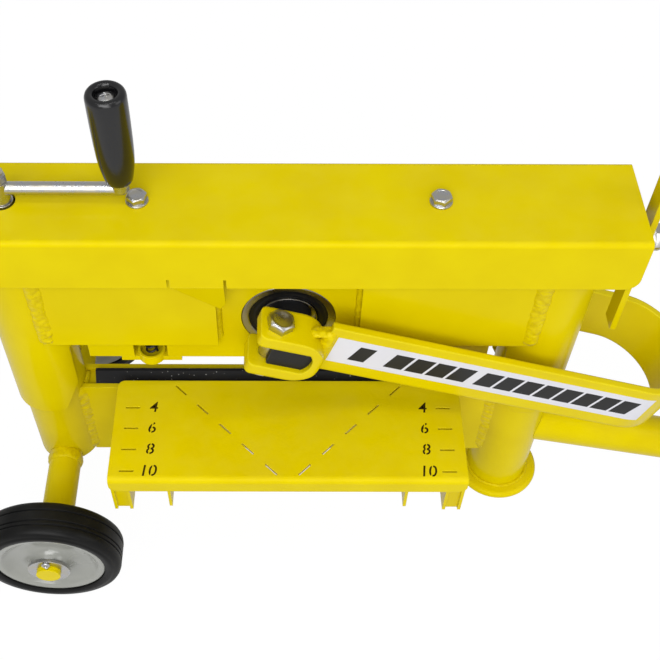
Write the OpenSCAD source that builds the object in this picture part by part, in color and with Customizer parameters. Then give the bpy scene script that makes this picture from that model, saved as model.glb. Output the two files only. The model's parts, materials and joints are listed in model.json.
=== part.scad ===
// Masonry block splitter: a fixed beam with the lower blade, and a head that two
// spindles raise and lower on two columns. A forked lever turns a cam shaft, and
// the cam presses the upper blade down onto the block.
// Origin: on the ground, midway between the columns. +Z up, -Y is the front.
// All sizes are in millimetres. The lever lies at its low stop, with the blade down.

/* [Columns] */
// Distance from the middle to each column axis
column_x = 200; // [190:1:215]
// Outside diameter of the fixed posts
post_d = 54; // [50:0.5:57]
// Wall of the fixed posts
post_wall = 4; // [3:0.5:5]
// Height of the post tops above the ground
post_top = 290; // [280:1:291]
// Running clearance between post and sleeve, on the radius
sleeve_clear = 0.3; // [0.3:0.1:0.5]
// Wall of the sliding sleeves
sleeve_wall = 4.4; // [3:0.1:5]
// Height of the sleeves' lower edge
sleeve_bottom = 138; // [134:1:142]
// Slope of the cut on the inner side of the sleeves' foot
sleeve_cut = 65; // [60:1:70]
// Diameter of the foot under the right post
foot_d = 76; // [66:1:90]
// Thickness of the foot
foot_t = 8; // [6:1:12]

/* [Lower beam] */
// Thickness of the two beam plates
beam_plate = 4.5; // [3.5:0.5:6]
// Lower edge of the beam
beam_bottom = 50; // [40:1:60]
// Upper edge of the beam
beam_top = 146; // [140:1:148]
// Height of the spacer bar inside the beam
spacer_h = 50; // [40:1:60]

/* [Blades] */
// Thickness of both blades
blade_t = 16; // [12:1:18]
// Length of the blocks at both ends of the lower blade
blade_block = 9.8; // [8:0.2:22]
// Length of the upper blade
upper_blade_l = 300; // [280:2:306]
// Height of the lower cutting edge
lower_edge = 155; // [151:1:156]
// Height of the upper cutting edge with the lever down
upper_edge = 178; // [170:1:182]
// Height of the upper blade
upper_blade_h = 14; // [12:1:15]
// Width of the blunt land on each cutting edge
edge_land = 3; // [1:0.5:4]
// Depth of the slanted faces of the blades
edge_h = 9; // [6:1:9]
// Stroke of the upper blade
blade_stroke = 10; // [8:0.5:10]

/* [Table] */
// Width of the table
table_w = 284; // [270:2:290]
// Height of the table top
table_top = 157; // [156:0.5:159]
// Front edge of the table, from the middle
table_front = 109; // [100:1:115]
// Thickness of the table sheet
table_t = 3; // [2:0.5:4]
// Height of the front lip
lip_h = 16.5; // [12:0.5:20]
// Gap between the table and the beam
table_gap = 0.4; // [0.3:0.1:1]
// Distance from the blade to the first scale mark
mark_first = 40; // [30:5:45]
// Distance between scale marks
mark_step = 20; // [15:1:20]
// Length of a scale mark
mark_l = 11.5; // [8:0.5:14]
// Distance from the table's side edges to the scale marks
mark_edge = 8.8; // [6:0.1:12]
// Width of the cut marks
mark_w = 1.5; // [1.3:0.1:2.5]
// Point of the V of dashes, from the middle
dash_apex = 111.5; // [108:0.5:112]
// Distance from the table's side edges to the ribs under it
rib_edge = 46; // [38:1:56]
// Thickness of the ribs
rib_t = 2.5; // [2:0.5:4]
// Height of the ribs
rib_h = 48; // [40:1:52]
// Outside width of the table arms
arm_w = 15; // [15:0.5:20]
// Overhang of the table arms beyond the table's side edges
arm_out = 0.5; // [0:0.5:4]
// Height of the table arms
arm_h = 40; // [34:1:41]
// Lower edge of the table arms
arm_z = 102.5; // [98:0.5:103]
// Sheet of the table arms
arm_t = 2.5; // [2:0.5:2.5]
// Reach of the table arms from the middle
arm_reach = 104; // [95:1:105]
// Travel of the sprung table
table_travel = 9; // [6:0.5:9]
// Guide pins of the table
guide_d = 5.5; // [5:0.5:6]

/* [Head] */
// Thickness of the two head webs
web_t = 17; // [15:0.5:17]
// Gap between the webs
web_gap = 10; // [10:0.2:12]
// Half length of the webs
web_x = 158; // [152:1:160]
// Lower edge of the webs
web_bottom = 203.5; // [203.5:0.5:208]
// Upper edge of the webs
web_top = 318; // [312:1:324]
// Thickness of the wing plates
wing_t = 8; // [6:0.5:8]
// Lower edge of the wing plates
wing_bottom = 228.5; // [224:0.5:240]
// Distance from the middle to the inner end of the wing plates
wing_in = 54; // [48:1:60]
// Top of the sleeves
sleeve_top = 325; // [322:1:327]
// Thickness of the sleeve caps
cap_t = 6; // [4:0.5:6]

/* [Cover] */
// Length of the cover
cover_l = 493; // [480:1:510]
// Depth of the cover
cover_d = 81.6; // [78:0.2:82]
// Height of the top of the cover
cover_top = 355; // [354:0.5:362]
// Height of the cover flanges
cover_h = 46; // [36:1:50]
// Sheet of the cover
cover_t = 3; // [2:0.5:3]
// Distance from the middle to the cover bolts
cover_bolt_x = 105.8; // [90:0.1:120]
// Thread of the cover bolts
cover_bolt_d = 8; // [6:1:10]
// Left end of the bent tab, from the middle
tab_out = 84; // [75:1:90]
// Right end of the bent tab, from the middle
tab_in = 46; // [40:1:50]
// Length of the bent tab
tab_l = 34; // [25:1:36]

/* [Cam shaft and lever] */
// Height of the cam shaft
shaft_z = 253; // [252:1:255]
// Diameter of the cam shaft
shaft_d = 35; // [30:1:35]
// Half length of the cam shaft
shaft_end = 60; // [56:1:64]
// Thickness across the flats of the shaft ends
tang_t = 23; // [18:1:24]
// Offset of the cam
cam_offset = 6.5; // [5:0.1:7]
// Diameter of the cam
cam_d = 52; // [50:1:54]
// Outside diameter of the bearings
bearing_d = 72; // [68:1:74]
// Slope of the lever below the horizontal at rest
lever_slope = 18; // [14:1:20]
// Width of the clevis straps
clevis_w = 30; // [24:1:32]
// Distance from the middle to the inner face of the clevises
clevis_in = 34; // [32:0.5:36]
// Half height of the clevises
clevis_h = 22; // [20:0.5:24]
// Reach of the clevis behind the shaft axis
clevis_tail = 28; // [25:1:32]
// Reach of the clevis in front of the shaft axis
clevis_nose = 26; // [24:1:30]
// Thread of the clevis bolts
clevis_bolt_d = 12; // [10:1:14]
// Distance from the shaft axis back to the clevis bolts
clevis_bolt_r = 14; // [13:0.5:15]
// Height of the yoke bar
yoke_h = 50; // [40:1:56]
// Thickness of the yoke bar
yoke_t = 6; // [5:0.5:6]
// Distance from the middle to the outer face of the yoke arms
yoke_y = 51; // [50:0.5:54]
// Offset of the yoke bar above the shaft axis
yoke_lift = 8; // [0:1:9]
// Distance from the shaft axis to the centre of the yoke's bend
yoke_r = 289; // [280:1:300]
// Distance from the shaft axis to the end of the lever
lever_l = 700; // [560:5:720]
// Diameter of the lever tube
lever_d = 33.7; // [28:0.1:36]
// Length of the lever socket
socket_l = 62; // [45:1:90]
// Length of the lever grip
grip_l = 120; // [90:1:140]

/* [Height drive] */
// Diameter of the spindles
spindle_d = 16; // [14:1:18]
// Lower end of the spindles
spindle_bottom = 185; // [175:1:190]
// Pitch of the chain
chain_pitch = 12.7; // [12.7:0.1:12.8]
// Teeth of the sprockets
sprocket_teeth = 13; // [13:2:13]
// Height of the middle of the chain
chain_z = 340; // [339.5:0.5:342]
// Radius of the crank
crank_r = 84.5; // [70:0.5:90]
// Height of the crank arm
crank_z = 367; // [366:0.5:372]
// Diameter of the crank arm
crank_d = 9.5; // [8:0.5:11]
// Diameter of the crank's hub
crank_hub_d = 14; // [13:0.5:18]
// Length of the crank grip
crank_grip_l = 75; // [60:1:90]
// Diameter of the top of the crank grip
crank_grip_d = 27; // [22:0.5:30]

/* [Wheels and leg] */
// Diameter of the wheels
wheel_d = 119; // [110:1:126]
// Width of the wheels
wheel_w = 33; // [24:1:36]
// Outer face of the wheels, from the middle
wheel_y = 137; // [130:1:145]
// Diameter of the rims
rim_d = 92; // [84:1:98]
// Diameter of the axle tube
axle_tube_d = 28; // [26:1:32]
// Diameter of the axle
axle_d = 20; // [16:1:22]
// Diameter of the support leg
leg_d = 38; // [34:1:40]
// Slope of the support leg
leg_slope = 14.4; // [13:0.1:16]
// Height at which the leg's axis meets the post's axis
leg_z = 88; // [84:1:89]
// Length of the leg's rubber foot
leg_foot_l = 34; // [25:1:45]

/* [Transport catch] */
// Thickness of the catch
catch_t = 4.5; // [4:0.5:6]
// Width of the catch
catch_w = 16; // [14:1:20]
// Height of the catch pivot
catch_z = 320; // [318:1:320]
// Length of the catch above its pivot
catch_up = 122; // [100:1:123]
// Length of the catch below its pivot
catch_down = 98; // [80:1:100]
// Inner face of the catch, from the middle
catch_x = 254.5; // [254:0.5:258]

/* [Hidden] */
$fn = 64;
eps = 0.01;
yellow = "gold";
zinc = "silver";
black = "dimgray";

// Fits
fit = 0.1;
running = 0.3;

// Columns
post_r = post_d / 2;
sleeve_in_r = post_r + sleeve_clear;
sleeve_r = sleeve_in_r + sleeve_wall;
slot_half = 18;
sleeve_cut_in = 14;
slot_top = 210;
left_post_bottom = 52;
nut_h = 20;

// Lower beam
core_half = blade_t / 2;
beam_half = core_half + beam_plate;
beam_end = column_x - post_r - fit;
lower_blade_l = 2 * (beam_end - blade_block - fit);
axle_z = wheel_d / 2;

// Table
mark_in = table_w / 2 - mark_edge - mark_l;
rib_x = table_w / 2 - rib_edge;
arm_x = table_w / 2 + arm_out;
arm_in = arm_x - arm_w;
spring_x = arm_x - arm_w / 2;
spring_y = [-35, -85];
table_y0 = -(beam_half + table_gap);
table_under = table_top - table_t;
arm_floor = arm_z + arm_t;
dash_l = 13.5;
dash_first = 12;
dash_pitch = 26.8;
table_spring_r = 3.8;
table_wire = 1.5;

// Head
web_in = web_gap / 2;
web_out = web_in + web_t;
wing_out = web_out + wing_t;
carrier_half = web_in - running;
carrier_top = shaft_z + 47;
lug_x = 109;
lug_half = 9;
lug_z = 250;
lug_h = 8;
notch_half = 13.3;
cup_r = 11;
cup_wall = 2;
cup_bottom = web_bottom - 4.5;
cup_floor = 3;
cup_rim = 208;
cup_y = -(web_out - 5.8);
cup_back = -(core_half + 0.6);
cup_strap_half = 24;
cup_strap_t = 5;
return_wire = 1.8;
return_r = 4.1;
spacer_x = 142;
spacer_l = 10;

// Cover
cover_half = cover_d / 2;
flange_bottom = cover_top - cover_h;
cover_under = cover_top - cover_t;
pillar_d = 18;
cover_bolt_af = 1.625 * cover_bolt_d;

// Cam and bearings: the cam's middle starts below the shaft, on the lever's side
cam_start = -50;
cam_x = cam_offset * cos(cam_start);
cam_z = shaft_z + cam_offset * sin(cam_start);
cam_play = 0.6;
pad_top = cam_z - cam_d / 2 - cam_play;
pad_h = 8;
window_half = cam_d / 2 + cam_offset + 2.5;
window_top = shaft_z + 34;
race_in_d = 46;
race_out_d = 60;
ball_d = 11;

// Lever
strap_in = tang_t / 2 + 0.2;
clevis_bolt_af = 1.5 * clevis_bolt_d;
clevis_nut_h = 0.8 * clevis_bolt_d;
clevis_bolt_out = 3;
shaft_r = shaft_d / 2;
socket_d = lever_d + 8.7;
socket_start = yoke_r + yoke_y;

// Height drive
sprocket_r = chain_pitch / (2 * sin(180 / sprocket_teeth));
tooth_step = 360 / sprocket_teeth;
roller_r = 4.25;
sprocket_t = 5;
chain_links = round(4 * column_x / chain_pitch + sprocket_teeth);
link_pitches = (chain_links - sprocket_teeth) / 2;
run_step = 2 * column_x / link_pitches;
collar_z = sleeve_top + cap_t;
grip_z = crank_z + crank_d / 2 + 3.6;
neck_d = crank_hub_d - 5;
pin_d = 8;
elbow_d = pin_d + 4;

// Wheels and leg
wheel_in = wheel_y - wheel_w;
washer_t = 2.5;
washer_d = axle_tube_d + 7;
axle_tube_half = wheel_in - washer_t - 2 * running;
leg_foot_d = leg_d + 6;
leg_l = (leg_z - leg_foot_d / 2 * cos(leg_slope)) / sin(leg_slope);

// Transport catch
catch_bolt_d = 12;

// A cylinder along Y from y0 to y1
module along_y(x, z, y0, y1, d) {
    translate([x, y0, z]) rotate([-90, 0, 0]) cylinder(d = d, h = y1 - y0);
}

// A cylinder along X from x0 to x1
module along_x(y, z, x0, x1, d) {
    translate([x0, y, z]) rotate([0, 90, 0]) cylinder(d = d, h = x1 - x0);
}

// A box given by its two corners
module box(a, b) {
    translate(a) cube(b - a);
}

// A flat tube standing at x, from z0 to z1
module tube(x, z0, z1, r_out, r_in) {
    translate([x, 0, z0]) difference() {
        cylinder(r = r_out, h = z1 - z0);
        translate([0, 0, -1]) cylinder(r = r_in, h = z1 - z0 + 2);
    }
}

// A ring about a Y axis
module ring_y(x, z, y0, y1, d_out, d_in) {
    difference() {
        along_y(x, z, y0, y1, d_out);
        along_y(x, z, y0 - 1, y1 + 1, d_in);
    }
}

// A flat outline rounded at its corners
module rounded(w, l, r) {
    union() {
        square([w - 2 * r, l], center = true);
        square([w, l - 2 * r], center = true);
        for (sx = [-1, 1], sy = [-1, 1])
            translate([sx * (w / 2 - r), sy * (l / 2 - r)]) circle(r = r, $fn = 32);
    }
}

// Copies on the left and on the right
module both_sides() {
    children();
    mirror([1, 0, 0]) children();
}

// Copies at the front and at the back
module front_and_back() {
    children();
    mirror([0, 1, 0]) children();
}

// Hexagon head along Z
module hex(af, h) {
    cylinder(d = af / cos(30), h = h, $fn = 6);
}

// Coil springs: points of the wire's middle line, and the tube round it
coil_rings = 8;
coil_sides = 6;
function coil_point(i, r, h, turns) =
    [r * cos(360 * i / coil_rings), r * sin(360 * i / coil_rings), h * i / (coil_rings * turns)];
function coil_skin(r, h, turns, wire) = [
    for (i = [0 : coil_rings * turns], k = [0 : coil_sides - 1])
        let (a = 360 * i / coil_rings, b = 360 * k / coil_sides,
            c = coil_point(i, r, h, turns))
        c + wire / 2 * [cos(b) * cos(a), cos(b) * sin(a), sin(b)]];
function coil_faces(n) = concat(
    [[for (k = [0 : coil_sides - 1]) k]],
    [[for (k = [coil_sides - 1 : -1 : 0]) n * coil_sides + k]],
    [for (i = [0 : n - 1], k = [0 : coil_sides - 1]) let (j = (k + 1) % coil_sides)
        [i * coil_sides + k, (i + 1) * coil_sides + k, (i + 1) * coil_sides + j]],
    [for (i = [0 : n - 1], k = [0 : coil_sides - 1]) let (j = (k + 1) % coil_sides)
        [i * coil_sides + k, (i + 1) * coil_sides + j, i * coil_sides + j]]);
function coil_gap(r, h, turns, wire) = min([
    for (i = [0 : coil_rings * turns], j = [i + coil_rings / 2 : coil_rings * turns])
        norm(coil_point(i, r, h, turns) - coil_point(j, r, h, turns))]) - wire;

module coil(r, z0, z1, turns, wire) {
    h = z1 - z0 - wire - 0.2;
    echo(least_gap_of_coil = coil_gap(r, h, turns, wire));
    translate([0, 0, z0 + wire / 2 + 0.1])
        polyhedron(points = coil_skin(r, h, turns, wire), faces = coil_faces(coil_rings * turns));
}

// Frame: posts, beam, axle, support leg

module left_post() {
    color(yellow) difference() {
        tube(-column_x, left_post_bottom, post_top, post_r, post_r - post_wall);
        along_y(-column_x, axle_z, -post_r - 1, post_r + 1, axle_tube_d + 2 * fit);
    }
}

module right_post() {
    color(yellow) tube(column_x, foot_t, post_top, post_r, post_r - post_wall);
}

// Round foot with a rolled edge, flat underneath
module right_foot() {
    color(yellow) translate([column_x, 0, 0]) rotate_extrude($fn = 64) union() {
        square([foot_d / 2 - foot_t / 2, foot_t]);
        translate([foot_d / 2 - foot_t / 2, foot_t / 2]) circle(d = foot_t, $fn = 32);
        square([foot_d / 2 - foot_t / 4, foot_t / 2]);
    }
}

module beam_plate(y0) {
    color(yellow) difference() {
        box([-column_x, y0, beam_bottom], [column_x, y0 + beam_plate, beam_top]);
        for (s = [-1, 1])
            translate([s * column_x, 0, beam_bottom - 1])
                cylinder(r = post_r + fit, h = beam_top - beam_bottom + 2);
    }
}

module beam_front_plate() {
    beam_plate(-beam_half);
}

module beam_rear_plate() {
    beam_plate(core_half);
}

// Bar between the beam plates that carries the blade, with a block at each end
module beam_spacer() {
    color(yellow) union() {
        box([-beam_end, -core_half, beam_bottom], [beam_end, core_half, beam_bottom + spacer_h]);
        both_sides() box([beam_end - blade_block, -core_half, beam_bottom + spacer_h - eps],
            [beam_end, core_half, beam_top - 4]);
    }
}

// Cross section of a blade bar: edge at y = 0, upright faces below it
module blade_section(h) {
    polygon([[-core_half, -h], [core_half, -h], [core_half, -edge_h],
        [edge_land / 2, 0], [-edge_land / 2, 0], [-core_half, -edge_h]]);
}

module lower_blade() {
    h = lower_edge - beam_bottom - spacer_h;
    color(black) translate([-lower_blade_l / 2, 0, lower_edge]) rotate([90, 0, 90])
        linear_extrude(lower_blade_l) blade_section(h);
}

module axle_tube() {
    color(yellow) ring_y(-column_x, axle_z, -axle_tube_half, axle_tube_half,
        axle_tube_d, axle_d + 2 * fit);
}

module axle() {
    color(yellow) difference() {
        along_y(-column_x, axle_z, -wheel_y - 7, wheel_y + 7, axle_d);
        front_and_back() translate([-column_x, -wheel_y - 4.6, axle_z - axle_d])
            cylinder(d = 3.4, h = 2 * axle_d);
    }
}

module wheel_washers() {
    color(zinc) front_and_back() {
        ring_y(-column_x, axle_z, -wheel_y - washer_t - running, -wheel_y - running,
            washer_d, axle_d + 2 * fit);
        ring_y(-column_x, axle_z, -wheel_in + running, -wheel_in + washer_t + running,
            washer_d, axle_d + 2 * fit);
    }
}

// Split pins with their eye on top
module split_pins() {
    color(zinc) front_and_back() translate([-column_x, -wheel_y - 4.6, axle_z]) union() {
        translate([0, 0, -axle_d / 2 - 4]) cylinder(d = 3.2, h = axle_d + 6);
        translate([0, 0, axle_d / 2 + 4.4]) rotate([90, 0, 0])
            rotate_extrude($fn = 32) translate([2.6, 0]) circle(d = 2, $fn = 16);
    }
}

// Nuts pressed into the post tops, in which the spindles turn
module spindle_nuts() {
    color(zinc) both_sides() translate([column_x, 0, post_top - nut_h]) difference() {
        cylinder(r = post_r - post_wall - fit / 2, h = nut_h);
        translate([0, 0, -1]) cylinder(d = spindle_d + 0.4, h = nut_h + 2);
    }
}

// Places its children along the leg, z running down the leg from the post's axis
module on_leg() {
    translate([column_x, 0, leg_z]) rotate([0, 90 + leg_slope, 0]) children();
}

module support_leg() {
    color(yellow) difference() {
        on_leg() difference() {
            cylinder(d = leg_d, h = leg_l - 4);
            translate([0, 0, -1]) cylinder(d = leg_d - 6, h = leg_l + 2);
        }
        translate([column_x, 0, 0]) cylinder(r = post_r + fit, h = post_top);
    }
}

// Rubber foot on the end of the leg
module leg_foot() {
    color(black) on_leg() difference() {
        translate([0, 0, leg_l - leg_foot_l]) cylinder(d = leg_foot_d, h = leg_foot_l);
        translate([0, 0, leg_l - leg_foot_l - 1])
            cylinder(d = leg_d + 2 * fit, h = leg_foot_l - 4 + 1 + fit);
    }
}

// Sprung table

// Two channels, open at the top, that carry the table's springs
module table_arms() {
    color(yellow) both_sides() difference() {
        box([arm_in, -arm_reach, arm_z], [arm_x, -beam_half - fit, arm_z + arm_h]);
        box([arm_in + arm_t, -arm_reach + 2 * arm_t, arm_floor],
            [arm_x - arm_t, -beam_half + 1, arm_z + arm_h + 1]);
        box([arm_in + arm_t, -arm_reach - 1, arm_z - 1],
            [arm_x - arm_t, -arm_reach + arm_t, arm_z + arm_h + 1]);
        for (y = spring_y) translate([spring_x, y, arm_z - 1])
            cylinder(d = guide_d + 0.6, h = arm_t + 2);
    }
}

module table_springs() {
    color(zinc) both_sides() for (y = spring_y) translate([spring_x, y, 0])
        coil(table_spring_r, arm_floor, table_under, 6, table_wire);
}

// One dash of the V, cut at 45 degrees from its point outwards
module dashes() {
    for (s = [-1, 1], i = [0 : 4])
        translate([0, -dash_apex, table_under - 1]) rotate([0, 0, 90 - s * 45])
            translate([dash_first + i * dash_pitch, -mark_w / 2, 0])
                cube([dash_l, mark_w, table_t + 2]);
}

module scale_marks() {
    both_sides() for (i = [0 : 3])
        box([mark_in, -mark_first - i * mark_step - mark_w / 2, table_under - 1],
            [mark_in + mark_l, -mark_first - i * mark_step + mark_w / 2, table_top + 1]);
}

// Sheet with a bent front lip, cut marks and two ribs welded underneath
module table() {
    depth = table_front + table_y0;
    bend = 5;
    color(yellow) difference() {
        union() {
            translate([0, table_y0 - depth / 2, table_under]) intersection() {
                linear_extrude(table_t) union() {
                    rounded(table_w, depth, 6);
                    translate([0, -depth / 4]) square([table_w, depth / 2], center = true);
                }
                translate([0, bend, 0]) cube([table_w + 2, depth, 3 * table_t], center = true);
            }
            translate([-table_w / 2, -table_front + bend, table_top - bend])
                rotate([90, 0, 90]) intersection() {
                    difference() {
                        cylinder(r = bend, h = table_w);
                        translate([0, 0, -1]) cylinder(r = bend - table_t, h = table_w + 2);
                    }
                    translate([-bend - 1, 0, -1]) cube([bend + 1, bend + 1, table_w + 2]);
                }
            translate([0, -table_front + table_t, table_top - lip_h])
                rotate([90, 0, 0]) linear_extrude(table_t) intersection() {
                    translate([0, lip_h]) rounded(table_w, 2 * lip_h, 7);
                    translate([-table_w / 2, 0]) square([table_w, lip_h - bend]);
                }
            both_sides() box([rib_x - rib_t / 2, -table_front + 2 * table_t, table_under - rib_h],
                [rib_x + rib_t / 2, table_y0 - 2, table_under + eps]);
        }
        dashes();
        scale_marks();
    }
}

// Pins under the table that run through the arms, each with a stop collar
module table_pins() {
    color(zinc) both_sides() for (y = spring_y) translate([spring_x, y, 0]) union() {
        translate([0, 0, arm_z - 6]) cylinder(d = guide_d, h = table_under - arm_z + 6);
        translate([0, 0, arm_z - 3]) cylinder(d = guide_d + 4, h = 3 - fit);
    }
}

// Wheels, both the same

// Pressed discs: hub, dish and outer bead, mirrored about the wheel's middle
module rim(y0) {
    w = wheel_w;
    a = axle_d / 2 + running;
    r = rim_d / 2;
    side = [[a, 0.2], [a + 4.3, 0.2], [a + 5.5, 1.2], [a + 6.3, 3.4], [a + 7.4, 5.8], [a + 9.4, 7.8],
        [r * 0.52, 9.2], [r * 0.62, 9.6], [r * 0.72, 8.8], [r * 0.8, 7], [r * 0.86, 4.6],
        [r * 0.9, 3], [r * 0.94, 2.2], [r - 1, 2.1], [r - fit, 2.9]];
    n = len(side) - 1;
    color(zinc) translate([-column_x, y0, axle_z]) rotate([-90, 0, 0]) rotate_extrude()
        polygon(concat(side, [for (i = [n : -1 : 0]) [side[i][0], w - side[i][1]]]));
}

module tyre(y0) {
    w = wheel_w;
    r = wheel_d / 2;
    f = rim_d / 2 + fit;
    color(black) translate([-column_x, y0, axle_z]) rotate([-90, 0, 0]) rotate_extrude()
        difference() {
            union() {
                translate([f, 2]) square([r - f - 3, w - 4]);
                translate([f + 3, 0.4]) square([r - f - 7, w - 0.8]);
                translate([f + 3, 4]) square([r - f - 3, w - 8]);
                for (y = [4, w - 4]) translate([r - 4, y]) circle(r = 4, $fn = 32);
                for (y = [3.4, w - 3.4]) translate([f + 3, y]) circle(r = 3, $fn = 32);
            }
            for (y = [w * 0.3, w * 0.42, w * 0.7]) translate([r, y]) circle(r = 1.1, $fn = 16);
        }
}

module front_rim() {
    rim(-wheel_y);
}

module front_tyre() {
    tyre(-wheel_y);
}

module rear_rim() {
    rim(wheel_in);
}

module rear_tyre() {
    tyre(wheel_in);
}

// Head: sleeves, webs, cover

// Sleeve on the left, slotted to straddle the beam and cut back steeply beside its welds
module sleeve() {
    difference() {
        tube(-column_x, sleeve_bottom, sleeve_top, sleeve_r, sleeve_in_r);
        translate([-column_x + sleeve_cut_in, -sleeve_r - 1, sleeve_bottom])
            rotate([0, -sleeve_cut, 0]) translate([-10, 0, -80])
                cube([3 * sleeve_r, 2 * sleeve_r + 2, 80]);
        box([-column_x, -slot_half, sleeve_bottom - 1],
            [-column_x + sleeve_r + 1, slot_half, slot_top]);
    }
}

module left_sleeve() {
    color(yellow) sleeve();
}

// The right sleeve also carries the boss of the transport catch
module right_sleeve() {
    color(yellow) union() {
        mirror([1, 0, 0]) sleeve();
        difference() {
            along_x(0, catch_z, column_x + sleeve_in_r + 1, catch_x - fit, catch_bolt_d + 6);
            along_x(0, catch_z, column_x, catch_x + 1, catch_bolt_d + 2 * fit);
            tube(column_x, sleeve_bottom, sleeve_top + 10, sleeve_r - 1, 0.1);
        }
    }
}

module sleeve_caps() {
    color(yellow) both_sides()
        tube(column_x, sleeve_top, sleeve_top + cap_t, sleeve_r - 1.3, spindle_d / 2 + fit);
}

// Plate that holds a bearing, seen from the front, with its outer face at y0
module web_plate(y0, notched) {
    color(yellow) difference() {
        box([-web_x, y0, web_bottom], [web_x, y0 + web_t, web_top]);
        along_y(0, shaft_z, y0 - 1, y0 + web_t + 1, bearing_d + 2 * 0.02);
        for (s = [-1, 1])
            translate([s * column_x, 0, web_bottom - 1])
                cylinder(r = sleeve_r + fit, h = web_top - web_bottom + 2);
        if (notched) for (s = [-1, 1])
            box([s * lug_x - notch_half, y0 - 1, web_bottom - 1],
                [s * lug_x + notch_half, y0 + web_t + 1, lug_z + lug_h + blade_stroke + 2]);
    }
}

module front_web() {
    web_plate(-web_out, true);
}

module rear_web() {
    web_plate(web_in, false);
}

// Bars between the webs, on which the ends of the blade carrier run
module web_spacers() {
    color(yellow) both_sides() box([spacer_x, -web_in, web_bottom + 12],
        [spacer_x + spacer_l, web_in, web_top - 8]);
}

module wings() {
    both_sides() difference() {
        box([wing_in, -wing_out, wing_bottom], [column_x, -web_out, web_top - 4]);
        translate([column_x, 0, wing_bottom - 1])
            cylinder(r = sleeve_r + fit, h = web_top - wing_bottom + 2);
    }
}

module front_wings() {
    color(yellow) wings();
}

module rear_wings() {
    color(yellow) mirror([0, 1, 0]) wings();
}

// Half-round cups under the front web, each with its welded strap
module spring_cups() {
    color(yellow) both_sides() translate([lug_x, 0, 0]) difference() {
        union() {
            translate([0, cup_y, cup_bottom]) cylinder(r = cup_r, h = cup_rim - cup_bottom);
            box([-cup_strap_half, -web_out, web_bottom - cup_strap_t],
                [cup_strap_half, cup_back, web_bottom]);
        }
        translate([0, cup_y, cup_bottom + cup_floor]) cylinder(r = cup_r - cup_wall, h = 40);
        box([-40, cup_back, web_bottom - 20], [40, 20, cup_rim + 10]);
    }
}

module outer_races() {
    color(zinc) front_and_back()
        ring_y(0, shaft_z, -web_out, -web_in, bearing_d, race_out_d);
}

module bearing_seals() {
    color(black) front_and_back() for (y = [-web_out + 0.8, -web_in - 2.8])
        ring_y(0, shaft_z, y, y + 2, race_out_d - 2 * fit, race_in_d + 2 * running);
}

// Tapped pillars on the webs that carry the cover
module cover_pillars() {
    color(yellow) both_sides() translate([cover_bolt_x, 0, web_top]) difference() {
        union() {
            translate([-25, -web_out, 0]) cube([50, 2 * web_out, 6]);
            cylinder(d = pillar_d, h = cover_under - web_top);
        }
        translate([0, 0, -1]) cylinder(d = cover_bolt_d + 2 * fit, h = cover_under - web_top + 2);
    }
}

// Folded sheet, open at both ends, with one tab bent in to the left wing
module cover() {
    r = 4;
    color(yellow) difference() {
        union() {
            translate([-cover_l / 2, 0, 0]) rotate([90, 0, 90]) linear_extrude(cover_l)
                difference() {
                    union() {
                        translate([-cover_half, flange_bottom]) square([cover_d, cover_h - r]);
                        translate([-cover_half + r, flange_bottom]) square([cover_d - 2 * r, cover_h]);
                        for (s = [-1, 1]) translate([s * (cover_half - r), cover_top - r])
                            circle(r = r, $fn = 32);
                    }
                    translate([-cover_half + cover_t, flange_bottom - 1])
                        square([cover_d - 2 * cover_t, cover_h - cover_t + 1]);
                }
            translate([0, -cover_half + cover_t, flange_bottom + 1]) rotate([90 + 14, 0, 0])
                linear_extrude(cover_t) polygon([[-tab_out, 1], [-tab_in, 1],
                    [-tab_in, -tab_l + 8], [-tab_in - 4, -tab_l], [-tab_out + 4, -3]]);
        }
        // Relief cuts at both ends of the tab
        for (x = [-tab_out - 2, -tab_in])
            box([x, -cover_half - 1, flange_bottom - 1], [x + 2, -cover_half + cover_t + 1,
                flange_bottom + 9]);
        // Rounded lower corners of the flanges
        for (s = [-1, 1]) translate([s * (cover_l / 2 - 10), 0, flange_bottom + 10])
            rotate([90, 0, 0]) difference() {
                translate([s > 0 ? 0 : -11, -11, -cover_d]) cube([11, 11, 2 * cover_d]);
                cylinder(r = 10, h = 3 * cover_d, center = true);
            }
        for (s = [-1, 1]) translate([s * cover_bolt_x, 0, cover_under - 1])
            cylinder(d = cover_bolt_d + 1, h = cover_t + 2);
        translate([-column_x, 0, cover_under - 1]) cylinder(d = crank_hub_d + 5, h = cover_t + 2);
    }
}

module cover_bolts() {
    color(zinc) both_sides() translate([cover_bolt_x, 0, 0]) union() {
        translate([0, 0, web_top + 6]) cylinder(d = cover_bolt_d, h = cover_top - web_top - 6 + 1);
        translate([0, 0, cover_top]) cylinder(d = 2 * cover_bolt_d, h = 1.4);
        translate([0, 0, cover_top + 1.4]) hex(cover_bolt_af, 5.3);
    }
}

module catch_bolt() {
    x1 = catch_x + catch_t + running;
    color(zinc) union() {
        along_x(0, catch_z, column_x + sleeve_r, x1 + 1, catch_bolt_d);
        along_x(0, catch_z, x1, x1 + 2.5, 2 * catch_bolt_d);
        translate([x1 + 2.5, 0, catch_z]) rotate([0, 90, 0])
            hex(1.5 * catch_bolt_d, 0.625 * catch_bolt_d);
    }
}

// Height drive: spindles, sprockets, chain, crank

// Place of roller i on the chain's loop, counted in pitches from the left sprocket
function chain_point(u) =
    let (arc = sprocket_teeth / 2, run = link_pitches)
    u < run ? [-column_x + u * run_step, sprocket_r] :
    u < run + arc ? [column_x + sprocket_r * sin((u - run) * tooth_step),
        sprocket_r * cos((u - run) * tooth_step)] :
    u < 2 * run + arc ? [column_x - (u - run - arc) * run_step, -sprocket_r] :
    [-column_x - sprocket_r * sin((u - 2 * run - arc) * tooth_step),
        -sprocket_r * cos((u - 2 * run - arc) * tooth_step)];

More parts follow.
